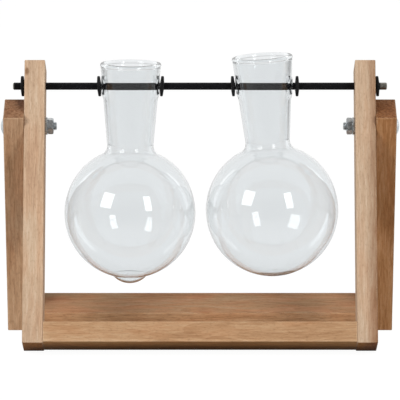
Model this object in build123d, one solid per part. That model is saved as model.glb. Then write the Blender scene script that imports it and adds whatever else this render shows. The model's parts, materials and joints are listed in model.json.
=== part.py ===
from build123d import *
from math import cos, hypot, radians, sin, sqrt, tan
import os

# Propagation vase: two glass flasks hang on a rod across a folding wooden stand.
# Millimetres and degrees. +X to the right, +Y to the back, +Z up, table at Z = 0.

# Planed wooden strip that every stick of the stand is cut from
stock_thickness = 14.0
stock_width = 30.0
edge_round = 0.6

# Stance of the stand: leans are measured from upright
post_lean = 21.66
leg_lean = 17.84
flask_above_table = 37.5
rod_below_post_top = 14.8
leg_above_bolt = 13.3
front_rail_lift = 0.7

# Room from side to side, measured at the widest part of the bulbs
bulb_gap = 7.1
left_bulb_to_post = 12.5
right_bulb_to_post = 10.6

# Blown glass flasks
glass_wall = 1.8
bulb_radius_left = 45.2
bulb_radius_right = 45.7
rod_to_bulb_left = 88.1
rod_to_bulb_right = 86.3
rod_to_rim_left = 16.2
rod_to_rim_right = 21.0
mouth_radius = 20.3
neck_foot_radius = 15.1
shoulder_round = 5.0
rim_bead_diameter = 2.5
left_flask_tilt = -0.4
right_flask_tilt = 3.8
foot_cap_radius = 16.0
foot_drop = 3.8

# Rod holes through the flask necks, with a fire-polished lip around each
neck_hole_diameter = 7.0
lip_diameter = 9.6
lip_base_diameter = 14.0
lip_proud = 0.8
hang_gap = 0.3

# Hanging rod and the rubber rings gripped on it
rod_diameter = 5.0
rod_end_proud = 5.2
rod_end_chamfer = 0.6
rod_hole_clearance = 0.08
rod_hole_chamfer = 0.8
ring_diameter = 14.0
ring_hub_thickness = 2.8
ring_edge_thickness = 1.8
ring_edge_round = 0.6
ring_grip_clearance = 0.05
ring_seat_gap = 0.35
ring_clear_of_leg = 1.15
seated_ring_lean = 3.5
end_ring_lean = 2.0
right_outer_ring_standoff = 1.5

# Pivot hardware: a dome-headed bolt with a square neck, a washer and a nut on each side
bolt_diameter = 6.0
bolt_head_diameter = 13.2
bolt_head_height = 2.4
bolt_square_depth = 3.5
bolt_square_clearance = 0.05
bolt_tip = 2.2
bolt_tip_chamfer = 0.7
bolt_hole_clearance = 0.08
nut_width = 10.0
nut_height = 4.0
nut_corner_chamfer = 0.7
nut_bore_clearance = 0.03
nut_turn_left = -23.0
nut_turn_right = -8.0
washer_diameter = 12.0
washer_thickness = 1.6
washer_bore_clearance = 0.2
washer_edge_round = 0.3
pivot_face_gap = 0.1

# Glued dowels that join each rail to its two sticks
dowel_diameter = 6.0
dowel_spacing = 16.0
dowel_in_stick = 9.0
dowel_in_rail = 15.0
dowel_chamfer = 0.8
dowel_glue_gap = 0.05
dowel_end_gap = 0.5

# Cutting tools run this far past the faces that they break through
cut_over = 1.0

# Sizes that follow from the ones above
half_width = stock_width / 2
rod_radius = rod_diameter / 2
ring_radius = ring_diameter / 2
left_room = left_bulb_to_post + 2 * bulb_radius_left
right_room = right_bulb_to_post + 2 * bulb_radius_right
post_inner_x = (left_room + bulb_gap + right_room) / 2
post_outer_x = post_inner_x + stock_thickness
leg_inner_x = post_outer_x + pivot_face_gap
leg_outer_x = leg_inner_x + stock_thickness

# The rod sits just high enough for its end rings to pass the legs' top corners
rod_above_bolt = hypot(leg_above_bolt, half_width) + ring_radius + ring_clear_of_leg
post_above_bolt = rod_above_bolt + rod_below_post_top

# The posts are as long as it takes to carry the lower flask clear of the table
lean_cos = cos(radians(post_lean))
lean_sin = sin(radians(post_lean))
foot_cap_drop = rod_to_bulb_left + bulb_radius_left + foot_drop - foot_cap_radius
left_flask_reach = foot_cap_drop * cos(radians(left_flask_tilt)) + foot_cap_radius
right_flask_reach = rod_to_bulb_right * cos(radians(right_flask_tilt)) + bulb_radius_right
rod_z = max(left_flask_reach, right_flask_reach) + flask_above_table
bolt_z = rod_z - rod_above_bolt * lean_cos
post_foot_z = bolt_z - edge_round - (half_width - edge_round) * lean_sin
post_below_bolt = edge_round + post_foot_z / lean_cos

# The legs are as long as it takes to reach the table from the bolts
leg_cos = cos(radians(leg_lean))
leg_sin = sin(radians(leg_lean))
leg_foot_z = bolt_z - edge_round - (half_width - edge_round) * leg_sin
leg_below_bolt = edge_round + leg_foot_z / leg_cos

# Front to back, the origin is midway between the posts' feet and the legs' feet
front_reach = (post_below_bolt - edge_round) * lean_sin + (half_width - edge_round) * lean_cos + edge_round
rear_reach = (leg_below_bolt - edge_round) * leg_sin + (half_width - edge_round) * leg_cos + edge_round
bolt_y = (front_reach - rear_reach) / 2
rod_y = bolt_y + rod_above_bolt * lean_sin

# Where the flask axes cross the rod
left_bulb_x = -post_inner_x + left_bulb_to_post + bulb_radius_left
right_bulb_x = post_inner_x - right_bulb_to_post - bulb_radius_right
left_flask_x = left_bulb_x - rod_to_bulb_left * sin(radians(left_flask_tilt))
right_flask_x = right_bulb_x - rod_to_bulb_right * sin(radians(right_flask_tilt))

# Local frames: each frame of the stand is drawn upright about the bolt axis, then leaned
front_frame = Location((0, bolt_y, bolt_z), (-post_lean, 0, 0))
rear_frame = Location((0, bolt_y, bolt_z), (leg_lean, 0, 0))


def span(low, high):
    """Length and middle of a stretch from low to high."""
    return high - low, (low + high) / 2


def along_x(x, y=0.0, z=0.0):
    """Frame at a point with its own Z axis along +X."""
    return Location((x, y, z), (0, 90, 0))


def stick(x_low, x_high, z_low, z_high):
    """Upright stick of the strip with every edge eased."""
    width, x_mid = span(x_low, x_high)
    length, z_mid = span(z_low, z_high)
    blank = Box(width, stock_width, length)
    return Pos(x_mid, 0, z_mid) * fillet(blank.edges(), edge_round)


def rail(half_length, z_low):
    """Rail lying between two sticks: long edges eased, ends left square to butt against them."""
    blank = Box(2 * half_length, stock_width, stock_thickness)
    eased = fillet(blank.edges().filter_by(Axis.X), edge_round)
    return Pos(0, 0, z_low + stock_thickness / 2) * eased


def bar_x(radius, x_low, x_high, y=0.0, z=0.0):
    """Round bar along X."""
    length, x_mid = span(x_low, x_high)
    return along_x(x_mid, y, z) * Cylinder(radius, length)


def dowel_places(joint_x, z_low):
    """Centres of the two dowels at one end of a rail, on the joint face."""
    z = z_low + stock_thickness / 2
    return [(joint_x, -dowel_spacing / 2, z), (joint_x, dowel_spacing / 2, z)]


def dowel_bar(place, side, radius, extra):
    """Dowel or its hole: from inside the rail to inside the stick."""
    joint_x, y, z = place
    inner = joint_x - side * (dowel_in_rail + extra)
    outer = joint_x + side * (dowel_in_stick + extra)
    return bar_x(radius, min(inner, outer), max(inner, outer), y, z)


def dowel_holes(face_x, z_low):
    """Holes for the four dowels of one rail."""
    holes = []
    for side in (-1, 1):
        for place in dowel_places(side * face_x, z_low):
            holes.append(dowel_bar(place, side, dowel_diameter / 2 + dowel_glue_gap, dowel_end_gap))
    return holes


def dowels(face_x, z_low):
    """The four dowels of one rail, with chamfered ends."""
    pins = []
    for side in (-1, 1):
        for place in dowel_places(side * face_x, z_low):
            pin = dowel_bar(place, side, dowel_diameter / 2, 0.0)
            pins.append(chamfer(pin.edges().filter_by(GeomType.CIRCLE), dowel_chamfer))
    return pins


def rod_hole(side):
    """Through hole for the rod in one post, opened out where it meets the inner face."""
    radius = rod_radius + rod_hole_clearance
    low = min(side * post_inner_x, side * post_outer_x) - cut_over
    high = max(side * post_inner_x, side * post_outer_x) + cut_over
    hole = bar_x(radius, low, high, 0, rod_above_bolt)
    mouth = Cone(radius + rod_hole_chamfer, radius, rod_hole_chamfer)
    start = Pos(side * (post_inner_x + rod_hole_chamfer / 2), 0, rod_above_bolt)
    return hole + start * Rotation(0, side * 90, 0) * mouth


def post(side):
    """Front post with its rod hole, bolt hole and dowel holes."""
    low = min(side * post_inner_x, side * post_outer_x)
    high = max(side * post_inner_x, side * post_outer_x)
    body = stick(low, high, -post_below_bolt, post_above_bolt)
    body -= rod_hole(side)
    body -= bar_x(bolt_diameter / 2 + bolt_hole_clearance, low - cut_over, high + cut_over)
    return body - dowel_holes(post_inner_x, front_rail_z)


def leg(side):
    """Rear leg with a square socket for the bolt's neck, its bolt hole and dowel holes."""
    low = min(side * leg_inner_x, side * leg_outer_x)
    high = max(side * leg_inner_x, side * leg_outer_x)
    body = stick(low, high, -leg_below_bolt, leg_above_bolt)
    body -= bar_x(bolt_diameter / 2 + bolt_hole_clearance, low - cut_over, high + cut_over)
    square = bolt_diameter + 2 * bolt_square_clearance
    depth = bolt_square_depth + bolt_square_clearance
    socket = Box(2 * depth, square, square)
    body -= Pos(side * leg_outer_x, 0, 0) * socket
    return body - dowel_holes(leg_inner_x, rear_rail_z)


def pivot_bolt(side):
    """Bolt with its dome on the leg's outer face and its tip past the nut."""
    radius = bolt_diameter / 2
    head_radius = bolt_head_diameter / 2
    length = leg_outer_x - nut_inner_x + bolt_tip
    dome = (head_radius ** 2 + bolt_head_height ** 2) / (2 * bolt_head_height)
    outline = Polyline(
        (0, bolt_head_height),
        (0, -length),
        (radius - bolt_tip_chamfer, -length),
        (radius, bolt_tip_chamfer - length),
        (radius, 0),
        (head_radius, 0),
    )
    crown = RadiusArc((head_radius, 0), (0, bolt_head_height), -dome)
    profile = make_face(outline + crown)
    bolt = revolve(Plane.XZ * profile, Axis.Z)
    bolt += Pos(0, 0, -bolt_square_depth / 2) * Box(bolt_diameter, bolt_diameter, bolt_square_depth)
    return Pos(side * leg_outer_x, 0, 0) * Rotation(0, side * 90, 0) * bolt


def pivot_nut(side, turn):
    """Hexagon nut with chamfered corners, its turn about the bolt measured from corner upright."""
    hexagon = extrude(RegularPolygon(nut_width / 2, 6, major_radius=False), nut_height / 2, both=True)
    corner_radius = nut_width / 2 / cos(radians(30))
    turned = Cylinder(corner_radius, nut_height)
    turned = chamfer(turned.edges().filter_by(GeomType.CIRCLE), nut_corner_chamfer)
    nut = hexagon & turned
    nut -= Cylinder(bolt_diameter / 2 + nut_bore_clearance, nut_height + 2 * cut_over)
    middle = side * (nut_inner_x + nut_height / 2)
    return Pos(middle, 0, 0) * Rotation(turn - leg_lean, 0, 0) * Rotation(0, 90, 0) * nut


def pivot_washer(side):
    """Flat washer between the nut and the post."""
    disc = Cylinder(washer_diameter / 2, washer_thickness)
    disc = fillet(disc.edges().filter_by(GeomType.CIRCLE), washer_edge_round)
    disc -= Cylinder(bolt_diameter / 2 + washer_bore_clearance, washer_thickness + 2 * cut_over)
    middle = side * (post_inner_x - pivot_face_gap - washer_thickness / 2)
    return along_x(middle) * disc


def hanging_rod():
    """Straight rod through both posts, with chamfered ends."""
    bar = bar_x(rod_radius, -rod_end_x, rod_end_x, rod_y, rod_z)
    return chamfer(bar.edges().filter_by(GeomType.CIRCLE), rod_end_chamfer)


def ring(x, lean):
    """Rubber ring on the rod: thin at its rounded edge, thicker at its hub, leaning by lean degrees."""
    slack = ring_hub_thickness * abs(tan(radians(lean)))
    bore = rod_diameter / cos(radians(lean)) + slack + 2 * ring_grip_clearance
    hub = ring_hub_thickness / 2
    edge = ring_edge_thickness / 2
    outline = Polyline(
        (0, -hub),
        (bore / 2, -hub),
        (ring_radius, -edge),
        (ring_radius, edge),
        (bore / 2, hub),
        (0, hub),
        close=True,
    )
    disc = revolve(Plane.XZ * make_face(outline), Axis.Z)
    rim_edges = disc.edges().group_by(SortBy.LENGTH)[-1]
    disc = fillet(rim_edges, ring_edge_round)
    disc -= Cylinder(bore / 2, ring_hub_thickness + 2 * cut_over)
    return Location((x, rod_y, rod_z), (0, 90 + lean, 0)) * disc


def neck_line(bulb_radius, rod_to_bulb, rod_to_rim):
    """Heights over the rod of the neck's foot and of its rim bead, and its taper in mm per mm."""
    foot_z = sqrt(bulb_radius ** 2 - neck_foot_radius ** 2) - rod_to_bulb
    bead_z = rod_to_rim - rim_bead_diameter / 2
    taper = (mouth_radius - neck_foot_radius) / (bead_z - foot_z)
    return foot_z, bead_z, taper


def neck_reach(side, bulb_radius, rod_to_bulb, rod_to_rim, tilt):
    """Distance along the rod from the flask's axis to the outside of its neck."""
    foot_z, _, taper = neck_line(bulb_radius, rod_to_bulb, rod_to_rim)
    radius_at_rod = neck_foot_radius - foot_z * taper
    tilt_cos = cos(radians(tilt))
    tilt_sin = sin(radians(tilt))
    return radius_at_rod / (tilt_cos + side * taper * tilt_sin)


def flask_body(bulb_radius, rod_to_bulb, rod_to_rim, inset):
    """Solid of the flask's outside, or of its inside when inset by the wall, about the rod."""
    foot_z, bead_z, taper = neck_line(bulb_radius, rod_to_bulb, rod_to_rim)
    low_z = -rod_to_bulb
    top_z = bead_z + (cut_over if inset else 0.0)
    low_radius = neck_foot_radius - inset + (low_z - foot_z) * taper
    top_radius = neck_foot_radius - inset + (top_z - foot_z) * taper
    length, middle = span(low_z, top_z)
    neck = Pos(0, 0, middle) * Cone(low_radius, top_radius, length)
    bulb = Pos(0, 0, low_z) * Sphere(bulb_radius - inset)
    body = neck + bulb
    shoulder = body.edges().filter_by(GeomType.CIRCLE).sort_by(Axis.Z)[-2]
    return fillet(shoulder, shoulder_round + inset)


def flask(x, bulb_radius, rod_to_bulb, rod_to_rim, tilt, foot):
    """Glass flask with its rim bead, neck holes and lips, hung on the rod and tilted sideways."""
    outside = flask_body(bulb_radius, rod_to_bulb, rod_to_rim, 0.0)
    if foot:
        cap_z = foot_cap_radius - rod_to_bulb - bulb_radius - foot_drop
        outside += Pos(0, 0, cap_z) * Sphere(foot_cap_radius)
    inside = flask_body(bulb_radius, rod_to_bulb, rod_to_rim, glass_wall)
    _, bead_z, _ = neck_line(bulb_radius, rod_to_bulb, rod_to_rim)
    bead = Torus(mouth_radius - glass_wall / 2, rim_bead_diameter / 2)
    shell = Rotation(0, -tilt, 0) * (outside - inside + Pos(0, 0, bead_z) * bead)
    hollow = Rotation(0, -tilt, 0) * inside
    hole_z = rod_radius + hang_gap - neck_hole_diameter / 2
    for side in (-1, 1):
        reach = neck_reach(side, bulb_radius, rod_to_bulb, rod_to_rim, tilt)
        length = glass_wall + lip_proud
        cone = Cone(lip_base_diameter / 2, lip_diameter / 2, length)
        middle = side * (reach + lip_proud - length / 2)
        shell += Pos(middle, 0, hole_z) * Rotation(0, side * 90, 0) * cone - hollow
    reach = mouth_radius + lip_proud + cut_over
    shell -= bar_x(neck_hole_diameter / 2, -reach, reach, 0, hole_z)
    return Pos(x, rod_y, rod_z) * shell


# Stations along X that several pieces share
nut_inner_x = post_inner_x - pivot_face_gap - washer_thickness - nut_height
front_rail_z = front_rail_lift - post_below_bolt
rear_rail_z = -leg_below_bolt
half_hub = ring_hub_thickness / 2
end_ring_x = post_outer_x + ring_seat_gap + half_hub
rod_end_x = end_ring_x + half_hub + rod_end_proud

left_flask = (bulb_radius_left, rod_to_bulb_left, rod_to_rim_left, left_flask_tilt)
right_flask = (bulb_radius_right, rod_to_bulb_right, rod_to_rim_right, right_flask_tilt)
lip_to_ring = lip_proud + ring_seat_gap + half_hub
left_outer_ring_x = left_flask_x - neck_reach(-1, *left_flask) - lip_to_ring
left_inner_ring_x = left_flask_x + neck_reach(1, *left_flask) + lip_to_ring
right_inner_ring_x = right_flask_x - neck_reach(-1, *right_flask) - lip_to_ring
right_outer_seat_x = right_flask_x + neck_reach(1, *right_flask) + lip_to_ring
right_outer_ring_x = right_outer_seat_x + right_outer_ring_standoff

parts = {
    "post_left": front_frame * post(-1),
    "post_right": front_frame * post(1),
    "front_rail": front_frame * (rail(post_inner_x, front_rail_z) - dowel_holes(post_inner_x, front_rail_z)),
    "front_rail_dowels": front_frame * Compound(dowels(post_inner_x, front_rail_z)),
    "leg_left": rear_frame * leg(-1),
    "leg_right": rear_frame * leg(1),
    "rear_rail": rear_frame * (rail(leg_inner_x, rear_rail_z) - dowel_holes(leg_inner_x, rear_rail_z)),
    "rear_rail_dowels": rear_frame * Compound(dowels(leg_inner_x, rear_rail_z)),
    "pivot_bolt_left": rear_frame * pivot_bolt(-1),
    "pivot_bolt_right": rear_frame * pivot_bolt(1),
    "pivot_washer_left": rear_frame * pivot_washer(-1),
    "pivot_washer_right": rear_frame * pivot_washer(1),
    "pivot_nut_left": rear_frame * pivot_nut(-1, nut_turn_left),
    "pivot_nut_right": rear_frame * pivot_nut(1, nut_turn_right),
    "hanging_rod": hanging_rod(),
    "rod_end_ring_left": ring(-end_ring_x, -end_ring_lean),
    "rod_end_ring_right": ring(end_ring_x, -end_ring_lean),
    "left_flask_outer_ring": ring(left_outer_ring_x, -seated_ring_lean),
    "left_flask_inner_ring": ring(left_inner_ring_x, seated_ring_lean),
    "right_flask_inner_ring": ring(right_inner_ring_x, -seated_ring_lean),
    "right_flask_outer_ring": ring(right_outer_ring_x, 0.0),
    "flask_left": flask(left_flask_x, *left_flask, True),
    "flask_right": flask(right_flask_x, *right_flask, False),
}

os.makedirs("parts", exist_ok=True)
for name, shape in parts.items():
    export_step(shape, "parts/" + name + ".step")

print("bolt axis y, z:", round(bolt_y, 3), round(bolt_z, 3))
print("rod axis y, z:", round(rod_y, 3), round(rod_z, 3))
print("post length:", round(post_below_bolt + post_above_bolt, 2))
print("leg length:", round(leg_below_bolt + leg_above_bolt, 2))
print("left flask's rings x:", round(left_outer_ring_x, 2), round(left_inner_ring_x, 2))
print("right flask's rings x:", round(right_inner_ring_x, 2), round(right_outer_ring_x, 2))
print("flasks x:", round(left_flask_x, 2), round(right_flask_x, 2), "rod end x:", round(rod_end_x, 2))
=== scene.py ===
import json
from math import acos, asin, atan, atan2, cos, hypot, pi, radians, sin, sqrt

import bmesh
import bpy
from mathutils import Matrix, Vector


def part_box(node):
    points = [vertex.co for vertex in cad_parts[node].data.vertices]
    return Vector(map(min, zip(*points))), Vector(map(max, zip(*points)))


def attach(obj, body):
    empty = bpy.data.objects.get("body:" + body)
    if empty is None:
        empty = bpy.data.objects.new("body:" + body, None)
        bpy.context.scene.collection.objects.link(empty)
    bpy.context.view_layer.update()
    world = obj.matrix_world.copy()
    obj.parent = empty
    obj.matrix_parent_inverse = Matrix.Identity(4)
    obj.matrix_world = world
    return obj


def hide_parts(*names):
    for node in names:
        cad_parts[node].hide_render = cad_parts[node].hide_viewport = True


# Propagation vase: two blown glass flasks hang on a black rod across a folding wooden stand.
# Metres, +X to the right, +Y to the back, +Z up. Sizes of pieces are written in millimetres.
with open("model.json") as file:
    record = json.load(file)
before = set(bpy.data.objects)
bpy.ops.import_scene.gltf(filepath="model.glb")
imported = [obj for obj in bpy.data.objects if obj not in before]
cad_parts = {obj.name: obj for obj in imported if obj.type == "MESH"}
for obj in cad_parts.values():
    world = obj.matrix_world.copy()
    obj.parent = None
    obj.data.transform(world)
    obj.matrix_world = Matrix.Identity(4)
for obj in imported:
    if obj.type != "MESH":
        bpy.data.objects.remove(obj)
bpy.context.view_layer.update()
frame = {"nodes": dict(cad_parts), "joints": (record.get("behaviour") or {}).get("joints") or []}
nodes = frame["nodes"]
joints = {joint["name"]: joint for joint in frame["joints"]}

MM = 0.001

# Leans of the two frames of the stand, measured from upright
POST_LEAN = radians(21.66)
LEG_LEAN = radians(17.84)


def linear(code):
    """Linear colour of an sRGB hex code, opaque."""
    channels = [int(code[k:k + 2], 16) / 255 for k in (1, 3, 5)]
    return [c / 12.92 if c <= 0.04045 else ((c + 0.055) / 1.055) ** 2.4 for c in channels] + [1.0]


def add(tree, kind, feeds=None, stops=None, **settings):
    """Adds a shader node with its settings, its colour stops and what feeds each of its inputs."""
    made = tree.nodes.new("ShaderNode" + kind)
    for name, value in settings.items():
        setattr(made, name, value)
    if stops:
        elements = made.color_ramp.elements
        while len(elements) < len(stops):
            elements.new(1.0)
        for element, (place, colour) in zip(elements, stops):
            element.position = place
            element.color = colour
    for socket, value in (feeds or {}).items():
        if isinstance(value, bpy.types.Node):
            value = value.outputs[0]
        if isinstance(value, bpy.types.NodeSocket):
            tree.links.new(value, made.inputs[socket])
        else:
            made.inputs[socket].default_value = value
    return made


def new_material(name):
    """Empty material with its node tree and its output node."""
    material = bpy.data.materials.new(name)
    material.use_nodes = True
    material.node_tree.nodes.clear()
    return material, material.node_tree, add(material.node_tree, "OutputMaterial")


def dress(piece, material):
    """Gives a piece one material on all its faces."""
    piece.data.materials.clear()
    piece.data.materials.append(material)
    for face in piece.data.polygons:
        face.material_index = 0


def mesh_piece(name, points, faces):
    """New smooth mesh object from points in metres, its faces turned outward."""
    mesh = bpy.data.meshes.new(name)
    mesh.from_pydata(points, [], faces)
    work = bmesh.new()
    work.from_mesh(mesh)
    bmesh.ops.remove_doubles(work, verts=work.verts, dist=1e-7)
    bmesh.ops.recalc_face_normals(work, faces=work.faces)
    for face in work.faces:
        face.smooth = True
    work.to_mesh(mesh)
    work.free()
    piece = bpy.data.objects.new(name, mesh)
    bpy.context.scene.collection.objects.link(piece)
    return piece


def arc(centre, radius, start, end, steps):
    """Points of an arc in a profile's plane, from one angle to another."""
    turns = [start + (end - start) * k / steps for k in range(steps + 1)]
    return [(centre[0] + radius * cos(t), centre[1] + radius * sin(t)) for t in turns]


def straight(start, end, steps):
    """Points of a straight stretch of a profile, without its two ends."""
    shares = [k / steps for k in range(1, steps)]
    return [(start[0] + (end[0] - start[0]) * s, start[1] + (end[1] - start[1]) * s) for s in shares]


# Wood

# Millimetres: the spacing of growth rings, how far they stray, and marks as long and as wide as given
GROWTH_RING = 3.4
GRAIN_STRAY = 16
STRAY_BEND = (80, 18)
FIBRE = (9, 0.9)
STAIN_PATCH = (55, 10)
BLUSH_STREAK = (40, 7)
HEART_EDGE = (40, 5)
HEART_WAVE = 9
SPECKLE = (9, 6)
FACE_SHADE_STREAK = (26, 5)
RUBBED_EDGE = 2.2
FIBRE_HEIGHT = 0.10
RAY_FLECK = (2.2, 0.5)
RAY_HEIGHT = 0.05
# The real flecks and pores are finer than a picture of the whole vase can show, so they are drawn coarser
FLECK = (2.4, 0.8)
PORE = 1.7

# How much growth rings, fibres and patches of stain each change the tone, and how deep a fleck is cut
TONE_START = -0.10
RING_CONTRAST = -0.15
FIBRE_CONTRAST = 0.75
PATCH_CONTRAST = 0.60
FLECK_CONTRAST = 0.4
FLECK_CUT = -0.7
WEAR_SPECKLE = 2.2

# Tints that multiply the wood's colour, and the bare wood under rubbed stain
FLECK_TINT = (0.64, 0.60, 0.56, 1)
BLUSH_TINT = (1.0, 0.93, 0.89, 1)
PORE_TINT = (0.66, 0.60, 0.55, 1)
RUBBED_STAIN = "#d9bf9f"

# How much of a mark's reach its ragged outline wanders over
RAGGED = 0.9


def stained_pine(name, lean, along_rail, shift, pith, tones, end_soak,
                 heart_and_shade=None, marks=(), painted_face_shades=()):
    """Planed pine under a thin brown stain.

    Growth lines run along the stick and turn to rings on its ends, under streaks of fibre and the
    short dark flecks that the planer opened. The stain takes in patches, soaks the end grain dark
    and is rubbed thin on the edges. A band of redder heartwood may run along one side, its dark edge
    on the right post partly painted shade. Painted light and shade may tint the face that points up
    or down in ruddy and olive streaks, and marks each tint the wood about a point: a knot, a rubbed
    edge, patches of stain, a darker ring round a rod hole, and painted shade, shadow and light.
    """
    material, tree, output = new_material(name)
    upright = Matrix.Rotation(lean, 3, "X")
    to_grain = Matrix.Identity(3) if along_rail else Matrix.Rotation(pi / 2, 3, "Y")
    turn = to_grain @ upright
    place = add(tree, "TexCoord")
    grain = add(tree, "Mapping", {
        "Vector": place.outputs["Object"],
        "Rotation": turn.to_euler(),
        "Location": [s * MM for s in shift],
    })

    def streaks(along, across, detail):
        """Noise drawn out along the grain, with the size of its marks in millimetres."""
        sized = add(tree, "Mapping", {
            "Vector": grain,
            "Scale": (1 / (along * MM), 1 / (across * MM), 1 / (across * MM)),
        })
        return add(tree, "TexNoise", {"Vector": sized, "Scale": 1.0, "Detail": detail})

    stray = add(tree, "VectorMath", {0: streaks(*STRAY_BEND, 2.0).outputs["Color"], 1: (0.5, 0.5, 0.5)},
                operation="SUBTRACT")
    bent = add(tree, "VectorMath", {0: stray, 1: (0.0, GRAIN_STRAY * MM, GRAIN_STRAY * MM), 2: grain},
               operation="MULTIPLY_ADD")
    about_pith = add(tree, "VectorMath", {0: bent, 1: (0.0, pith[0] * MM, pith[1] * MM)},
                     operation="SUBTRACT")
    # A wave of scale 1 repeats every pi / 10
    rings = add(tree, "TexWave", {
        "Vector": about_pith, "Scale": pi / 10 / (GROWTH_RING * MM), "Distortion": 1.5, "Detail": 2.0,
        "Detail Scale": 0.5,
    }, wave_type="RINGS", rings_direction="X", wave_profile="SAW")
    fibres = streaks(*FIBRE, 4.0)
    patches = streaks(*STAIN_PATCH, 2.0)
    blush = add(tree, "MapRange", {
        "Value": streaks(*BLUSH_STREAK, 2.0), "From Min": 0.48, "From Max": 0.68,
    })
    flecks = add(tree, "ValToRGB", {"Fac": streaks(*FLECK, 1.0)},
                 stops=[(0.54, (0, 0, 0, 1)), (0.70, (1, 1, 1, 1))])

    tone = add(tree, "Math", {0: rings.outputs["Fac"], 1: RING_CONTRAST, 2: TONE_START},
               operation="MULTIPLY_ADD")
    tone = add(tree, "Math", {0: fibres, 1: FIBRE_CONTRAST, 2: tone}, operation="MULTIPLY_ADD")
    tone = add(tree, "Math", {0: patches, 1: PATCH_CONTRAST, 2: tone}, operation="MULTIPLY_ADD")
    colour = add(tree, "ValToRGB", {"Fac": tone}, stops=[
        (0.10, linear(tones[0])), (0.50, linear(tones[1])), (0.90, linear(tones[2])),
    ])
    dark_flecks = add(tree, "Math", {0: flecks, 1: FLECK_CONTRAST}, operation="MULTIPLY")
    layers = [(dark_flecks, FLECK_TINT), (blush, BLUSH_TINT)]
    if heart_and_shade:
        start, soft, red, slant = heart_and_shade
        across = add(tree, "SeparateXYZ", {0: place.outputs["Object"]})
        slanting = add(tree, "Math", {0: across.outputs["Z"], 1: -slant, 2: across.outputs["X"]},
                       operation="MULTIPLY_ADD")
        wavy = add(tree, "Math", {0: streaks(*HEART_EDGE, 3.0), 1: HEART_WAVE * MM, 2: slanting},
                   operation="MULTIPLY_ADD")
        low = (start + HEART_WAVE / 2 - soft) * MM
        side = add(tree, "MapRange", {"Value": wavy, "From Min": low, "From Max": low + 2 * soft * MM})
        layers.append((side, red + (1,)))
    speckle = streaks(*SPECKLE, 3.0)
    for centre, squash, core, reach, tint in marks:
        away = add(tree, "VectorMath", {0: place.outputs["Object"], 1: [c * MM for c in centre]},
                   operation="SUBTRACT")
        away = add(tree, "VectorMath", {0: away, 1: squash}, operation="MULTIPLY")
        away = add(tree, "VectorMath", {0: away}, operation="LENGTH")
        outline = RAGGED * reach * MM
        uneven = add(tree, "Math", {0: speckle, 1: -outline, 2: outline / 2}, operation="MULTIPLY_ADD")
        away = add(tree, "Math", {0: away.outputs["Value"], 1: uneven}, operation="ADD")
        spot = add(tree, "MapRange", {"Value": away, "From Min": reach * MM, "From Max": core * MM})
        layers.append((spot, tint + (1,)))
    grain_axis = Vector((1, 0, 0)) @ turn
    facing = add(tree, "VectorMath", {0: place.outputs["Normal"], 1: grain_axis}, operation="DOT_PRODUCT")
    end_face = add(tree, "Math", {0: facing.outputs["Value"]}, operation="ABSOLUTE")
    end_grain = add(tree, "MapRange", {"Value": end_face, "From Min": 0.75, "From Max": 0.95})
    layers.append((end_grain, end_soak + (1,)))
    # Open pores speckle the sawn ends
    pores = add(tree, "TexNoise", {
        "Vector": place.outputs["Object"], "Scale": 1 / (PORE * MM), "Detail": 3.0,
    })
    pores = add(tree, "MapRange", {"Value": pores, "From Min": 0.44, "From Max": 0.60})
    pores = add(tree, "Math", {0: pores, 1: end_grain}, operation="MULTIPLY")
    layers.append((pores, PORE_TINT))
    # Painted light and shade on whole faces, broken into ruddy and olive streaks
    for direction, ruddy, olive in painted_face_shades:
        outward = Vector(direction) @ upright
        facing = add(tree, "VectorMath", {0: place.outputs["Normal"], 1: outward}, operation="DOT_PRODUCT")
        face_share = add(tree, "MapRange", {"Value": facing.outputs["Value"], "From Min": 0.6, "From Max": 0.9})
        face_tint = add(tree, "ValToRGB", {"Fac": streaks(*FACE_SHADE_STREAK, 3.0)},
                     stops=[(0.40, ruddy + (1,)), (0.60, olive + (1,))])
        layers.append((face_share, face_tint))
    for share, stain in layers:
        colour = add(tree, "Mix", {0: share, 6: colour, 7: stain}, data_type="RGBA", blend_type="MULTIPLY")
        colour = colour.outputs[2]
    rounded = add(tree, "Bevel", {"Radius": RUBBED_EDGE * MM}, samples=6)
    flat = add(tree, "NewGeometry")
    turned = add(tree, "VectorMath", {0: rounded, 1: flat.outputs["Normal"]}, operation="DOT_PRODUCT")
    edge = add(tree, "MapRange", {"Value": turned.outputs["Value"], "From Min": 0.995, "From Max": 0.90})
    ragged = add(tree, "Math", {0: speckle, 1: WEAR_SPECKLE, 2: edge}, operation="MULTIPLY_ADD")
    wear = add(tree, "MapRange", {"Value": ragged, "From Min": 1.75, "From Max": 2.4, "To Max": 0.55})
    worn = add(tree, "Mix", {0: wear, 6: colour, 7: linear(RUBBED_STAIN)}, data_type="RGBA")
    rough = add(tree, "MapRange", {"Value": fibres, "To Min": 0.48, "To Max": 0.76})
    height = add(tree, "Math", {0: flecks, 1: FLECK_CUT, 2: fibres}, operation="MULTIPLY_ADD")
    raised = add(tree, "Bump", {"Height": height, "Strength": 0.5, "Distance": FIBRE_HEIGHT * MM})
    surface = add(tree, "BsdfPrincipled", {
        "Base Color": worn.outputs[2], "Roughness": rough, "Specular IOR Level": 0.1, "Normal": raised,
    })
    tree.links.new(surface.outputs[0], output.inputs["Surface"])
    return material


# Each stick's tones were matched to how bright it looks, so beside the stain's own differences they carry
# painted light and shade
POST_TONES = ("#a6876e", "#c6a98d", "#dbc6ad")
FRONT_RAIL_TONES = ("#976f4d", "#ba926d", "#cfae8b")
LEG_LEFT_TONES = ("#8f6c4d", "#b69171", "#d0af8f")
LEG_RIGHT_TONES = ("#7f542d", "#a7774e", "#c49871")
REAR_RAIL_TONES = ("#9c714f", "#cb9c73", "#e3bd98")
POST_END = (0.94, 0.58, 0.24)
LEG_END = (0.74, 0.64, 0.58)

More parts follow.
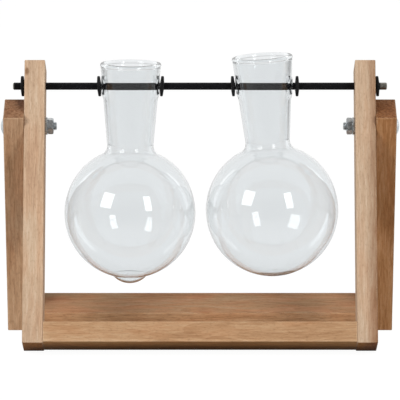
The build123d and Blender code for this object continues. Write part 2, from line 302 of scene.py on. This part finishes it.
STICK_WIDTH = 30
STICK_THICKNESS = 14
rod_y, rod_z = [c / MM for c in joints["rod_spin"]["pos_m"][1:]]
rail_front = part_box("front_rail")[0] / MM
rail_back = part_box("rear_rail")[1] / MM
front_rail_edge = (0, rail_front.y, rail_front.z + STICK_WIDTH * sin(POST_LEAN))
rear_rail_edge = (0, rail_back.y - STICK_THICKNESS * sin(LEG_LEAN), rail_back.z)

# Marks: the middle, how much each axis counts, the reach of the full tint, where it ends, and the tint
# A darker ring round the rod hole in each post
DARKER_RING_ROD_HOLE = ((0, rod_y, rod_z), (0, 1, 1), 2.8, 5.6, (0.42, 0.32, 0.25))
PIN_KNOT = ((-118.2, rod_y - 11.5, rod_z + 11.8), (1, 0.6, 0.55), 0.7, 2.0, (0.50, 0.42, 0.36))
# Painted light: the left leg's lower part is lightened where it comes out of the post's shadow
PAINTED_LIGHT_LOW_LEG = ((0, 0, 0), (0, 0, 1), 52, 76, (1.14, 1.12, 1.09))
# Painted shade: the wood is darkened within 10 mm of the floor
PAINTED_FLOOR_SHADE = ((0, 0, 0), (0, 0, 1), 0, 10, (0.48, 0.41, 0.33))
RUBBED_LOWER_EDGE = (front_rail_edge, (0, 1, 1), 0.3, 2.2, (1.12, 1.17, 1.22))
# Painted shade along the back edge of the rear rail's top
PAINTED_SHADE_BACK_EDGE = (rear_rail_edge, (0, 1, 1), 3, 22, (0.80, 0.80, 0.80))
# Painted shadow of the post on the top of the left leg
PAINTED_POST_SHADOW = ((-120, 15.3, 165.6), (1, 0.36, 0.36), 4, 8.5, (0.47, 0.42, 0.45))
# Olive stain and painted shade on the rear rail's top beside the left leg
OLIVE_STAIN_AND_SHADE_CORNER = ((-118, 54, 19.7), (1, 1.2, 1.2), 4, 17, (0.78, 0.82, 0.80))
RED_PATCH_LEFT = ((-99, 53, 19.6), (0.5, 1.3, 1.3), 1, 6, (1.10, 0.93, 0.90))
RED_PATCH_MIDDLE = ((-4, 54.5, 20.2), (0.35, 1.3, 1.3), 1, 6, (1.10, 0.93, 0.90))

# Heartwood, which on the right post is partly painted shade: where it starts across the stick, how soft its
# edge is, its tint and its slant
PALE_HEART = (-110, 2, (1.0, 0.96, 0.93), 0.0)
# Dark heartwood along the right post's outer edge, partly painted shade beside the leg
DARK_HEART_AND_EDGE_SHADE = (114.9, 4.5, (0.51, 0.38, 0.30), 0.018)

# Painted light and shade on the face that points this way, with the tints of its ruddy and its olive
# streaks
# Painted light and shade: the rail's underside is tinted warm, as warm light bounced under it would leave
# it
PAINTED_WARM_UNDERSIDE = ((0, 0, -1), (1.25, 1.04, 0.70), (1.05, 0.87, 0.58))
# Painted shade: the rear rail's top is dulled and darkened
PAINTED_SHADE_TOP = ((0, 0, 1), (0.80, 0.74, 0.73), (0.69, 0.72, 0.73))

# Each stick's own wood: where it was cut from the plank, and where the tree's pith lay beside it
STICKS = {
    "post_left": dict(
        lean=POST_LEAN, along_rail=False, shift=(31, 5, 12), pith=(38, 22), tones=POST_TONES,
        end_soak=POST_END, heart_and_shade=PALE_HEART, marks=(DARKER_RING_ROD_HOLE, PIN_KNOT, PAINTED_FLOOR_SHADE),
    ),
    "post_right": dict(
        lean=POST_LEAN, along_rail=False, shift=(-57, 41, 3), pith=(-45, 30), tones=POST_TONES,
        end_soak=POST_END, heart_and_shade=DARK_HEART_AND_EDGE_SHADE, marks=(DARKER_RING_ROD_HOLE, PAINTED_FLOOR_SHADE),
    ),
    "front_rail": dict(
        lean=POST_LEAN, along_rail=True, shift=(11, -23, 37), pith=(30, -34), tones=FRONT_RAIL_TONES,
        end_soak=POST_END, marks=(PAINTED_FLOOR_SHADE, RUBBED_LOWER_EDGE), painted_face_shades=(PAINTED_WARM_UNDERSIDE,),
    ),
    "leg_left": dict(
        lean=-LEG_LEAN, along_rail=False, shift=(83, 13, -29), pith=(26, 24), tones=LEG_LEFT_TONES,
        end_soak=LEG_END, marks=(PAINTED_LIGHT_LOW_LEG, PAINTED_POST_SHADOW),
    ),
    "leg_right": dict(
        lean=-LEG_LEAN, along_rail=False, shift=(-19, 67, 47), pith=(-24, 35), tones=LEG_RIGHT_TONES,
        end_soak=LEG_END,
    ),
    "rear_rail": dict(
        lean=-LEG_LEAN, along_rail=True, shift=(47, 29, -61), pith=(24, 30), tones=REAR_RAIL_TONES,
        end_soak=LEG_END, marks=(OLIVE_STAIN_AND_SHADE_CORNER, RED_PATCH_LEFT, RED_PATCH_MIDDLE, PAINTED_SHADE_BACK_EDGE),
        painted_face_shades=(PAINTED_SHADE_TOP,),
    ),
}
for node, wood in STICKS.items():
    dress(nodes[node], stained_pine("stained_pine_planed_" + node, **wood))


def turned_beech():
    """Bare beech, turned to round pins: pale and even, with the short brown ray flecks of beech."""
    material, tree, output = new_material("beech_turned_bare")
    place = add(tree, "TexCoord")
    along, across = RAY_FLECK
    along_pin = add(tree, "Mapping", {
        "Vector": place.outputs["Object"],
        "Scale": (1 / (along * MM), 1 / (across * MM), 1 / (across * MM)),
    })
    rays = add(tree, "TexNoise", {"Vector": along_pin, "Scale": 1.0, "Detail": 2.0})
    colour = add(tree, "ValToRGB", {"Fac": rays}, stops=[
        (0.30, linear("#e3c8a3")), (0.56, linear("#d8b88f")), (0.72, linear("#b48a60")),
    ])
    rough = add(tree, "MapRange", {"Value": rays, "To Min": 0.55, "To Max": 0.75})
    raised = add(tree, "Bump", {"Height": rays, "Strength": 0.3, "Distance": RAY_HEIGHT * MM})
    surface = add(tree, "BsdfPrincipled", {"Base Color": colour, "Roughness": rough, "Normal": raised})
    tree.links.new(surface.outputs[0], output.inputs["Surface"])
    return material


beech = turned_beech()
dress(nodes["front_rail_dowels"], beech)
dress(nodes["rear_rail_dowels"], beech)


# Metal and rubber

# Millimetres: the size and height of each finish's mottling, and how far from the rod's ends its paint
# starts to be rubbed off and is gone
ZINC_MOTTLE = 1.6
ZINC_HEIGHT = 0.03
ORANGE_PEEL = 0.9
PEEL_HEIGHT = 0.02
RUBBER_BLOOM = 2.5
BARE_LEFT_END = (0.9, 0.4)
BARE_RIGHT_END = (4.9, 4.2)


def zinc_plated_steel():
    """Cold-formed steel, zinc-plated in a barrel: dull blue-grey, mottled by the tumbling."""
    material, tree, output = new_material("zinc_plated_steel_cold_formed")
    place = add(tree, "TexCoord")
    mottle = add(tree, "TexNoise", {
        "Vector": place.outputs["Object"], "Scale": 1 / (ZINC_MOTTLE * MM), "Detail": 4.0,
    })
    colour = add(tree, "ValToRGB", {"Fac": mottle}, stops=[
        (0.30, linear("#a9b0b3")), (0.55, linear("#cdd1d3")), (0.75, linear("#e2e5e6")),
    ])
    rough = add(tree, "MapRange", {"Value": mottle, "To Min": 0.28, "To Max": 0.44})
    raised = add(tree, "Bump", {"Height": mottle, "Strength": 0.15, "Distance": ZINC_HEIGHT * MM})
    surface = add(tree, "BsdfPrincipled", {
        "Base Color": colour, "Metallic": 1.0, "Roughness": rough, "Normal": raised,
    })
    tree.links.new(surface.outputs[0], output.inputs["Surface"])
    return material


def painted_rod(rod):
    """Drawn steel rod under satin black paint: faint orange peel, rubbed bare where its ends stand out."""
    material, tree, output = new_material("steel_rod_satin_black_paint")
    low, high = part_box(rod)
    place = add(tree, "TexCoord")
    along = add(tree, "SeparateXYZ", {0: place.outputs["Object"]})
    left = add(tree, "MapRange", {
        "Value": along.outputs["X"],
        "From Min": low.x + BARE_LEFT_END[0] * MM, "From Max": low.x + BARE_LEFT_END[1] * MM,
    })
    right = add(tree, "MapRange", {
        "Value": along.outputs["X"],
        "From Min": high.x - BARE_RIGHT_END[0] * MM, "From Max": high.x - BARE_RIGHT_END[1] * MM,
    })
    bare = add(tree, "Math", {0: left, 1: right}, operation="MAXIMUM")
    peel = add(tree, "TexNoise", {
        "Vector": place.outputs["Object"], "Scale": 1 / (ORANGE_PEEL * MM), "Detail": 2.0,
    })
    paint = add(tree, "ValToRGB", {"Fac": peel},
                stops=[(0.35, linear("#0d0d0f")), (0.7, linear("#17171a"))])
    steel = add(tree, "ValToRGB", {"Fac": peel},
                stops=[(0.35, linear("#77756d")), (0.7, linear("#a09d94"))])
    colour = add(tree, "Mix", {0: bare, 6: paint, 7: steel}, data_type="RGBA")
    rough = add(tree, "MapRange", {"Value": peel, "To Min": 0.34, "To Max": 0.48})
    raised = add(tree, "Bump", {"Height": peel, "Strength": 0.2, "Distance": PEEL_HEIGHT * MM})
    surface = add(tree, "BsdfPrincipled", {
        "Base Color": colour.outputs[2], "Metallic": bare, "Roughness": rough, "Specular IOR Level": 0.1,
        "Normal": raised,
    })
    tree.links.new(surface.outputs[0], output.inputs["Surface"])
    return material


def moulded_rubber():
    """Moulded nitrile rubber: matt black with a grey bloom where it was handled."""
    material, tree, output = new_material("nitrile_rubber_moulded_black")
    place = add(tree, "TexCoord")
    bloom = add(tree, "TexNoise", {
        "Vector": place.outputs["Object"], "Scale": 1 / (RUBBER_BLOOM * MM), "Detail": 3.0,
    })
    colour = add(tree, "ValToRGB", {"Fac": bloom},
                 stops=[(0.35, linear("#0f0f10")), (0.75, linear("#1d1d1f"))])
    rough = add(tree, "MapRange", {"Value": bloom, "To Min": 0.55, "To Max": 0.75})
    surface = add(tree, "BsdfPrincipled", {
        "Base Color": colour, "Roughness": rough, "Specular IOR Level": 0.2,
    })
    tree.links.new(surface.outputs[0], output.inputs["Surface"])
    return material


zinc = zinc_plated_steel()
rubber = moulded_rubber()
for node in nodes:
    if node.startswith("pivot_"):
        dress(nodes[node], zinc)
    if node.endswith("_ring") or node.startswith("rod_end_ring"):
        dress(nodes[node], rubber)
dress(nodes["hanging_rod"], painted_rod("hanging_rod"))


# Pivot bolts

BOLT_RADIUS = 2.98
BOLT_HEAD_RADIUS = 6.58
BOLT_HEAD_HEIGHT = 2.4
BOLT_SQUARE_DEPTH = 3.5
THREAD_LENGTH = 10.0
THREAD_PITCH = 1.0
THREAD_DEPTH = 0.58
# Shares of the pitch that the thread's flat crest and its flanks take up
THREAD_CREST = 0.15
THREAD_FLANK = 0.7
TIP_CHAMFER = 0.7
THREAD_ROWS_PER_TURN = 10
DOME_ROWS = 12
BOLT_COLUMNS = 64


def pivot_bolt(node, side):
    """Dome-headed bolt with its square neck and the rolled thread that takes the nut."""
    low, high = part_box(node)
    middle = (low + high) / 2
    crown = high.x if side > 0 else low.x
    length = (high.x - low.x) / MM
    dome = (BOLT_HEAD_RADIUS ** 2 + BOLT_HEAD_HEIGHT ** 2) / (2 * BOLT_HEAD_HEIGHT)
    dome_half = asin(BOLT_HEAD_RADIUS / dome)
    shank = BOLT_HEAD_HEIGHT + BOLT_SQUARE_DEPTH
    rows = [(dome - r, h, "round") for r, h in arc((0, 0), dome, 0, dome_half, DOME_ROWS)]
    rows += [(BOLT_HEAD_HEIGHT, BOLT_RADIUS, "square"), (shank, BOLT_RADIUS, "square")]
    rows += [(shank, BOLT_RADIUS, "round"), (length - THREAD_LENGTH, BOLT_RADIUS, "round")]
    thread_rows = int(THREAD_LENGTH / THREAD_PITCH * THREAD_ROWS_PER_TURN)
    for k in range(1, thread_rows + 1):
        rows.append((length - THREAD_LENGTH * (1 - k / thread_rows), BOLT_RADIUS, "thread"))
    rows.append((length, 0.0, "round"))
    points = []
    for distance, radius, shape in rows:
        for column in range(BOLT_COLUMNS):
            turn = 2 * pi * column / BOLT_COLUMNS
            reach = radius
            if shape == "square":
                reach = radius / max(abs(cos(turn - LEG_LEAN)), abs(sin(turn - LEG_LEAN)))
            if shape == "thread":
                groove = abs(2 * ((distance / THREAD_PITCH + turn / (2 * pi)) % 1) - 1)
                reach = radius - THREAD_DEPTH * min(1.0, max(0.0, (groove - THREAD_CREST) / THREAD_FLANK))
                reach = min(reach, radius - TIP_CHAMFER + length - distance)
            points.append((crown - side * distance * MM, middle.y + reach * MM * cos(turn),
                           middle.z + reach * MM * sin(turn)))
    faces = []
    for row in range(len(rows) - 1):
        for column in range(BOLT_COLUMNS):
            across = (column + 1) % BOLT_COLUMNS
            here, after = row * BOLT_COLUMNS, (row + 1) * BOLT_COLUMNS
            faces.append((here + column, here + across, after + across, after + column))
    bolt = mesh_piece(node + "_threaded", points, faces)
    dress(bolt, zinc)
    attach(bolt, "rear_frame")
    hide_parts(node)


pivot_bolt("pivot_bolt_left", -1)
pivot_bolt("pivot_bolt_right", 1)


# Glass flasks

MOUTH_WALL = 2.25
NECK_FOOT_WALL = 1.5
BULB_WALL = 0.8
SHOULDER_ROUND = 6.5
INNER_SHOULDER_ROUND = 8.2
RIM_BEAD = 3.0
RIM_PROUD = 0.3
BEAD_START = -radians(40)
NECK_HOLE = 3.5
LIP_TOP = 4.6
LIP_BASE = 8.4
LIP_PROUD = 0.8
LIP_ROUND = 0.8
HOLE_BELOW_ROD = 0.7
ROD_RADIUS = 2.5
RING_RADIUS = 7.0
RING_ROOM = 0.05
# Distances from a rod hole's middle at which its lip is drawn, out to the plain neck
LIP_LOOPS = (NECK_HOLE + LIP_ROUND, LIP_TOP, 5.4, 6.2, 7.0, 7.7, LIP_BASE, 9.0)
FOOT_CAP = 16.0
FOOT_FILLET = 1.5

# How finely each stretch of a flask is drawn, and how much of the neck a rod hole's lip takes up
COLUMNS = 128
BULB_ROWS = 64
NECK_ROWS = 50
FLOOR_ROWS = 30
BEAD_ROWS = 20
CAP_ROWS = 14
INNER_ROWS = 12
SHOULDER_ROWS = 10
CREASE_ROWS = 6
POLISH_ROWS = 6
BASE_ROWS = 5
WINDOW_COLUMNS = 12
WINDOW_ROWS = 9

FLASKS = {
    "flask_left": {
        "body": "left_flask", "swing": "left_flask_swing", "bulb": 45.2, "drop": 88.1, "rim": 16.15,
        "neck_foot": 15.6, "mouth": 20.75, "lip_faces": (19.8, 19.8), "tilt": radians(-0.4),
        "foot_drop": 3.8,
    },
    "flask_right": {
        "body": "right_flask", "swing": "right_flask_swing", "bulb": 45.7, "drop": 86.3, "rim": 20.95,
        "neck_foot": 14.9, "mouth": 20.65, "lip_faces": (19.6, 19.4), "tilt": radians(3.8),
        "base": 2.2, "base_round": 22.0,
    },
}


def shoulder(bulb, centre_z, foot_radius, foot_z, taper, fillet):
    """Fillet between a bulb and the neck above it: its centre, its angle from the bulb, its top."""
    slope = hypot(1, taper)
    offset = foot_radius + taper * (centre_z - foot_z) + fillet * slope
    reach = (bulb + fillet) ** 2
    rise = (sqrt((1 + taper ** 2) * reach - offset ** 2) - offset * taper) / (1 + taper ** 2)
    centre = (offset + taper * rise, centre_z + rise)
    top = (centre[0] - fillet / slope, centre[1] + fillet * taper / slope)
    return centre, atan2(rise, centre[0]), top


def flask_profile(size):
    """Half section of a flask from its lowest point up the outside and down the inside to its floor.

    Radius and height over the rod, with the height of the neck's foot and, for the outer and the
    inner side of the neck, the row where it starts, its foot's radius and its taper.
    """
    bulb, low = size["bulb"], -size["drop"]
    neck_foot, mouth = size["neck_foot"], size["mouth"]
    foot_z = low + sqrt(bulb ** 2 - neck_foot ** 2)
    bead_z = size["rim"] - RIM_BEAD / 2
    taper = (mouth - neck_foot) / (bead_z - foot_z)
    rows = []
    hollow = bulb - BULB_WALL
    start = -pi / 2
    if "foot_drop" in size:
        cap_z = low - bulb - size["foot_drop"] + FOOT_CAP
        apart = low - cap_z
        near, far = FOOT_CAP + FOOT_FILLET, bulb + FOOT_FILLET
        down = (apart ** 2 + far ** 2 - near ** 2) / (2 * apart)
        crease = (sqrt(far ** 2 - down ** 2), low - down)
        cap_end = atan2(crease[1] - cap_z, crease[0])
        start = atan2(-down, crease[0])
        rows += arc((0, cap_z), FOOT_CAP, -pi / 2, cap_end, CAP_ROWS)
        rows += arc(crease, FOOT_FILLET, cap_end + pi, start + pi, CREASE_ROWS)[1:-1]
        floor = arc((0, low), hollow, pi / 4, start, FLOOR_ROWS)[1:]
        floor += arc(crease, FOOT_FILLET + BULB_WALL, start + pi, cap_end + pi, CREASE_ROWS)[1:-1]
        floor += arc((0, cap_z), FOOT_CAP - BULB_WALL, cap_end, -pi / 2, CAP_ROWS)
    else:
        floor_round = size["base_round"]
        floor_z = low - bulb + size["base"]
        drop = floor_z + floor_round - low
        floor_edge = (sqrt((hollow - floor_round) ** 2 - drop ** 2), floor_z + floor_round)
        turn_in = atan2(drop, floor_edge[0])
        floor = arc((0, low), hollow, pi / 4, turn_in, FLOOR_ROWS)[1:-1]
        floor += arc(floor_edge, floor_round, turn_in, -pi / 2, INNER_ROWS)
        floor += straight(floor[-1], (0.0, floor_z), BASE_ROWS) + [(0.0, floor_z)]
    centre, angle, _ = shoulder(bulb, low, neck_foot, foot_z, taper, SHOULDER_ROUND)
    rows += arc((0, low), bulb, start, angle, BULB_ROWS)
    rows += arc(centre, SHOULDER_ROUND, angle + pi, pi - atan(taper), SHOULDER_ROWS)[1:]
    outer_neck = len(rows)
    bead = (mouth + RIM_PROUD - RIM_BEAD / 2, bead_z)
    bead_end = 2 * pi - acos(1 - (RIM_PROUD + MOUTH_WALL) / (RIM_BEAD / 2))
    bead_rows = arc(bead, RIM_BEAD / 2, BEAD_START, bead_end, BEAD_ROWS)
    rows += straight(rows[-1], bead_rows[0], NECK_ROWS) + bead_rows
    inner_foot = neck_foot - NECK_FOOT_WALL
    inner_taper = taper - (MOUTH_WALL - NECK_FOOT_WALL) / (bead_z - foot_z)
    centre, angle, top = shoulder(hollow, low, inner_foot, foot_z, inner_taper, INNER_SHOULDER_ROUND)
    inner_neck = len(rows)
    rows += straight(rows[-1], top, NECK_ROWS)
    rows += arc(centre, INNER_SHOULDER_ROUND, pi - atan(inner_taper), angle + pi, INNER_ROWS)[:-1]
    rows += arc((0, low), hollow, angle, pi / 4, INNER_ROWS) + floor
    return rows, foot_z, (outer_neck, neck_foot, taper), (inner_neck, inner_foot, inner_taper)


def flask_mesh(name, size):
    """Blown flask as one closed skin, with its two rod holes let into the neck as rounded lips."""
    rows, foot_z, outside, inside = flask_profile(size)
    tilt_cos, tilt_sin = cos(size["tilt"]), sin(size["tilt"])
    points = []
    grid = []
    for radius, height in rows:
        count = COLUMNS if radius > 1e-6 else 1
        grid.append([len(points) + (k if count > 1 else 0) for k in range(COLUMNS)])
        for k in range(count):
            turn = 2 * pi * k / COLUMNS
            across, depth = radius * cos(turn), radius * sin(turn)
            x = across * tilt_cos - height * tilt_sin
            z = across * tilt_sin + height * tilt_cos
            points.append((x, depth, z))

    def on_neck(side, depth, rise, foot, taper):
        """Where a line along the rod meets the neck's wall, at a depth and rise from the hole's middle."""
        level = rise - HOLE_BELOW_ROD
        x = side * size["mouth"]
        # The height on the tilted neck depends on x, so each round comes nearer to where they agree
        for _ in range(8):
            height = level * tilt_cos - x * tilt_sin
            radius = foot + taper * (height - foot_z)
            x = (side * sqrt(radius ** 2 - depth ** 2) - level * tilt_sin) / tilt_cos
        return x

    def lip_height(distance):
        """How far the lip stands off the neck at a distance from the hole's middle."""
        share = min(1.0, max(0.0, (LIP_BASE - distance) / (LIP_BASE - LIP_TOP)))
        return LIP_PROUD * share * share * (3 - 2 * share)

    def ring_room(from_rod):
        """How far past a lip's face the neck may reach and still swing clear of the leaning rings."""
        return RING_ROOM * max(0.0, from_rod - ROD_RADIUS) + max(0.0, from_rod - RING_RADIUS)

    faces = []
    cut = set()
    left_lip, right_lip = size["lip_faces"]
    for side, middle_column, lip_face in ((1, 0, right_lip), (-1, COLUMNS // 2, left_lip)):
        edges = []
        for (first, foot, taper), up in ((outside, 1), (inside, -1)):
            hole_x = on_neck(side, 0.0, 0.0, foot, taper)
            hole_height = -HOLE_BELOW_ROD * tilt_cos - hole_x * tilt_sin
            neck_rows = range(first, first + NECK_ROWS - 1)
            middle_row = min(neck_rows, key=lambda r: abs(rows[r][1] - hole_height))
            ladder = [middle_row + up * k for k in range(-WINDOW_ROWS, WINDOW_ROWS + 1)]
            span = [middle_column + k for k in range(-WINDOW_COLUMNS, WINDOW_COLUMNS + 1)]
            cut.update((r, c % COLUMNS) for r in range(min(ladder), max(ladder)) for c in span[:-1])
            border = [(ladder[0], c) for c in span[:-1]] + [(r, span[-1]) for r in ladder[:-1]]
            border += [(ladder[-1], c) for c in span[:0:-1]] + [(r, span[0]) for r in ladder[:0:-1]]
            border = [grid[r][c % COLUMNS] for r, c in border]
            spokes = [(points[b][1], points[b][2] + HOLE_BELOW_ROD) for b in border]
            loops = []
            for distance in LIP_LOOPS:
                loop = []
                for depth, rise in spokes:
                    scale = distance / hypot(depth, rise)
                    out, up_by = depth * scale, rise * scale
                    x = side * on_neck(side, out, up_by, foot, taper) + lip_height(distance)
                    from_rod = hypot(out, up_by - HOLE_BELOW_ROD)
                    x = min(x, lip_face + ring_room(from_rod))
                    loop.append(len(points))
                    points.append((side * x, out, up_by - HOLE_BELOW_ROD))
                loops.append(loop)
            loops.append(border)
            edges.append(loops[0])
            for inner, outer in zip(loops, loops[1:]):
                for k in range(len(inner)):
                    n = (k + 1) % len(inner)
                    faces.append((inner[k], inner[n], outer[n], outer[k]))
        polish = [edges[0]]
        for step in range(1, POLISH_ROWS):
            bend = pi * step / POLISH_ROWS
            loop = []
            for a, b in zip(edges[0], edges[1]):
                outer, inner = Vector(points[a]), Vector(points[b])
                spot = (outer + inner) / 2 + (outer - inner) / 2 * cos(bend)
                scale = 1 - LIP_ROUND / (NECK_HOLE + LIP_ROUND) * sin(bend)
                loop.append(len(points))
                points.append((spot.x, spot.y * scale, (spot.z + HOLE_BELOW_ROD) * scale - HOLE_BELOW_ROD))
            polish.append(loop)
        polish.append(edges[1])
        for one, two in zip(polish, polish[1:]):
            for k in range(len(one)):
                n = (k + 1) % len(one)
                faces.append((one[k], one[n], two[n], two[k]))
    for r in range(len(rows) - 1):
        for c in range(COLUMNS):
            if (r, c) not in cut:
                n = (c + 1) % COLUMNS
                corners = [grid[r][c], grid[r][n], grid[r + 1][n], grid[r + 1][c]]
                faces.append([p for k, p in enumerate(corners) if p not in corners[:k]])
    hang = Vector(joints[size["swing"]]["pos_m"])
    return mesh_piece(name, [hang + Vector(p) * MM for p in points], faces)


def blown_glass():
    """Clear soda-lime glass, blown and fire-polished: smooth, with a faint grey-blue body."""
    material, tree, output = new_material("soda_lime_glass_blown_clear")
    surface = add(tree, "BsdfPrincipled", {
        "Base Color": linear("#f2f4f5"), "Roughness": 0.0, "IOR": 1.5, "Transmission Weight": 1.0,
    })
    depth = add(tree, "VolumeAbsorption", {"Color": linear("#b9cdd2"), "Density": 12.0})
    tree.links.new(surface.outputs[0], output.inputs["Surface"])
    tree.links.new(depth.outputs[0], output.inputs["Volume"])
    return material


glass = blown_glass()
for node, size in FLASKS.items():
    flask = flask_mesh(node + "_blown", size)
    dress(flask, glass)
    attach(flask, size["body"])
    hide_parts(node)
    # Clear glass lets the lamps through to the wood behind it
    flask.visible_shadow = False


# Camera, as far off and as high as the photograph was taken from

CAMERA_PLACE = (0.0, -2.7906, 0.5344)
CAMERA_LOOKS_DOWN = 8.89
CAMERA_SENSOR = 36.0
CAMERA_LENS = 370.6

camera = bpy.data.objects.new("camera", bpy.data.cameras.new("camera"))
bpy.context.scene.collection.objects.link(camera)
camera.location = CAMERA_PLACE
camera.rotation_euler = (radians(90 - CAMERA_LOOKS_DOWN), 0.0, 0.0)
camera.data.sensor_width = CAMERA_SENSOR
camera.data.lens = CAMERA_LENS
bpy.context.scene.camera = camera


# Studio, in metres and degrees

LIGHT_TARGET = Vector((0, 0, 0.10))
LIGHT_DISTANCE = 1.2


def softbox(name, azimuth, elevation, width, height, power, mirrored):
    """Rectangular soft light aimed at the middle of the vase, placed round it from the camera's side."""
    lamp = bpy.data.lights.new(name, "AREA")
    lamp.shape = "RECTANGLE"
    lamp.size = width
    lamp.size_y = height
    lamp.energy = power
    light = bpy.data.objects.new(name, lamp)
    bpy.context.scene.collection.objects.link(light)
    level = cos(radians(elevation))
    aim = Vector((sin(radians(azimuth)) * level, -cos(radians(azimuth)) * level, sin(radians(elevation))))
    light.location = LIGHT_TARGET + aim * LIGHT_DISTANCE
    light.rotation_euler = aim.to_track_quat("Z", "Y").to_euler()
    light.visible_glossy = mirrored
    light.visible_transmission = mirrored


softbox("softbox_left", azimuth=-46, elevation=26, width=0.43, height=0.52, power=3.4, mirrored=True)
softbox("softbox_right", azimuth=33, elevation=23, width=0.26, height=0.54, power=2.5, mirrored=True)
# The same two lights again for the wood alone: glass shows softboxes dimmer than they light matt things
softbox("key_left", azimuth=-46, elevation=26, width=0.46, height=0.52, power=4.0, mirrored=False)
softbox("key_right", azimuth=39, elevation=23, width=0.26, height=0.54, power=3.0, mirrored=False)
# Two tall strips behind it draw the pale arcs along the sides of the bulbs
softbox("strip_left", azimuth=-124, elevation=18, width=0.22, height=0.90, power=0.55, mirrored=True)
softbox("strip_right", azimuth=124, elevation=18, width=0.22, height=0.90, power=0.55, mirrored=True)

# The paper takes shadows in its own grey; an even white glow makes up the rest of what is seen of it
PAPER_FRONT = -0.7
PAPER_REACH = 3
PAPER_GREY = (0.42, 0.42, 0.42, 1)
GLOW_SHARE = 0.78
GLOW_SEEN = 1.23
# Half the stand's width and depth, where the paper lies in its shade
SHADE_REACH = (0.15, 0.09)
# How bright the studio is to both sides, past the end of the roll of paper
DIM_SIDES = 0.45

near_corners = [(-PAPER_REACH, PAPER_FRONT, 0), (PAPER_REACH, PAPER_FRONT, 0)]
far_corners = [(PAPER_REACH, PAPER_REACH, 0), (-PAPER_REACH, PAPER_REACH, 0)]
floor = mesh_piece("floor", near_corners + far_corners, [(0, 1, 2, 3)])
material, tree, output = new_material("studio_floor_white_paper")
path = add(tree, "LightPath")
seen = add(tree, "Math", {0: path.outputs["Is Camera Ray"], 1: path.outputs["Is Glossy Ray"]},
           operation="MAXIMUM")
seen = add(tree, "Math", {0: seen, 1: path.outputs["Is Transmission Ray"]}, operation="MAXIMUM")
mirrored = add(tree, "Math", {0: path.outputs["Glossy Depth"], 1: 1.0}, operation="MINIMUM")
passed = add(tree, "Math", {0: path.outputs["Transmission Depth"], 1: 1.0}, operation="MINIMUM")
share = add(tree, "Math", {0: seen, 1: GLOW_SHARE}, operation="MULTIPLY")
spot = add(tree, "TexCoord").outputs["Object"]
depth = add(tree, "SeparateXYZ", {0: spot})
sweep = add(tree, "MapRange", {
    "Value": depth.outputs["Y"], "From Min": -0.45, "From Max": 0.30, "To Min": 0.45, "To Max": 1.05,
})
# Under the stand the paper lies in shade, which the wood and the outside of the glass reflect
under = add(tree, "VectorMath", {0: spot, 1: (1 / SHADE_REACH[0], 1 / SHADE_REACH[1], 0)},
            operation="MULTIPLY")
under = add(tree, "VectorMath", {0: under}, operation="LENGTH")
shade = add(tree, "MapRange", {
    "Value": under.outputs["Value"], "From Min": 0.6, "From Max": 1.4, "To Min": 0.25, "To Max": 1.0,
})
shade = add(tree, "Math", {0: shade, 1: path.outputs["Transmission Depth"]}, operation="MAXIMUM")
shade = add(tree, "Math", {0: shade, 1: 1.0}, operation="MINIMUM")
sweep = add(tree, "Math", {0: sweep, 1: shade}, operation="MULTIPLY")
level = add(tree, "Mix", {0: mirrored, 2: GLOW_SEEN, 3: sweep})
# The roll of paper ends to both sides, and glass shows the dimmer room beside it along its walls
beside = add(tree, "Math", {0: depth.outputs["X"]}, operation="ABSOLUTE")
beside = add(tree, "MapRange", {
    "Value": beside, "From Min": 0.45, "From Max": 0.85, "To Min": 1.0, "To Max": DIM_SIDES,
})
beside = add(tree, "Mix", {0: passed, 2: 1.0, 3: beside})
level = add(tree, "Math", {0: level, 1: beside}, operation="MULTIPLY")
paper = add(tree, "BsdfDiffuse", {"Color": PAPER_GREY})
glow = add(tree, "Emission", {"Color": (1, 1, 1, 1), "Strength": level})
sheet = add(tree, "MixShader", {0: share, 1: paper, 2: glow})
tree.links.new(sheet.outputs[0], output.inputs["Surface"])
dress(floor, material)

# White where the camera looks past the vase; dimmer overhead and to the sides where glass bends the view
world = bpy.data.worlds.new("studio")
bpy.context.scene.world = world
world.use_nodes = True
tree = world.node_tree
tree.nodes.clear()
path = add(tree, "LightPath")
direction = add(tree, "SeparateXYZ", {0: add(tree, "TexCoord").outputs["Generated"]})
ceiling = add(tree, "MapRange", {
    "Value": direction.outputs["Z"], "From Min": 0.15, "From Max": 0.6, "To Min": 1.0, "To Max": 0.35,
})
beside = add(tree, "Math", {0: direction.outputs["X"]}, operation="ABSOLUTE")
beside = add(tree, "MapRange", {
    "Value": beside, "From Min": 0.40, "From Max": 0.70, "To Min": 1.0, "To Max": DIM_SIDES,
})
through = add(tree, "Math", {0: path.outputs["Is Transmission Ray"], 1: ceiling}, operation="MULTIPLY")
through = add(tree, "Math", {0: through, 1: beside}, operation="MULTIPLY")
seen = add(tree, "Math", {0: path.outputs["Is Camera Ray"], 1: through}, operation="MAXIMUM")
# Mirrored in the glass and the metal, the room is dark behind the camera and bright behind the vase
room = add(tree, "MapRange", {
    "Value": direction.outputs["Y"], "From Min": -1.0, "From Max": 0.6, "To Min": 0.10, "To Max": 1.0,
})
passed = add(tree, "Math", {0: path.outputs["Transmission Depth"], 1: 1.0}, operation="MINIMUM")
room = add(tree, "Math", {0: passed, 1: 0.20, 2: room}, operation="MULTIPLY_ADD", use_clamp=True)
mirrored = add(tree, "Math", {0: path.outputs["Glossy Depth"], 1: 1.0}, operation="MINIMUM")
level = add(tree, "Mix", {0: mirrored, 2: seen, 3: room})
# What falls on matt surfaces is a soft fill, stronger from behind
scattered = add(tree, "Math", {0: path.outputs["Diffuse Depth"], 1: 1.0}, operation="MINIMUM")
fill = add(tree, "MapRange", {
    "Value": direction.outputs["Y"], "From Min": -1.0, "From Max": 1.0, "To Min": 0.30, "To Max": 0.62,
})
level = add(tree, "Mix", {0: scattered, 2: level, 3: fill})
backdrop = add(tree, "Background", {"Color": (1, 1, 1, 1), "Strength": level})
tree.links.new(backdrop.outputs[0], add(tree, "OutputWorld").inputs["Surface"])

bpy.context.scene.view_settings.view_transform = "Standard"
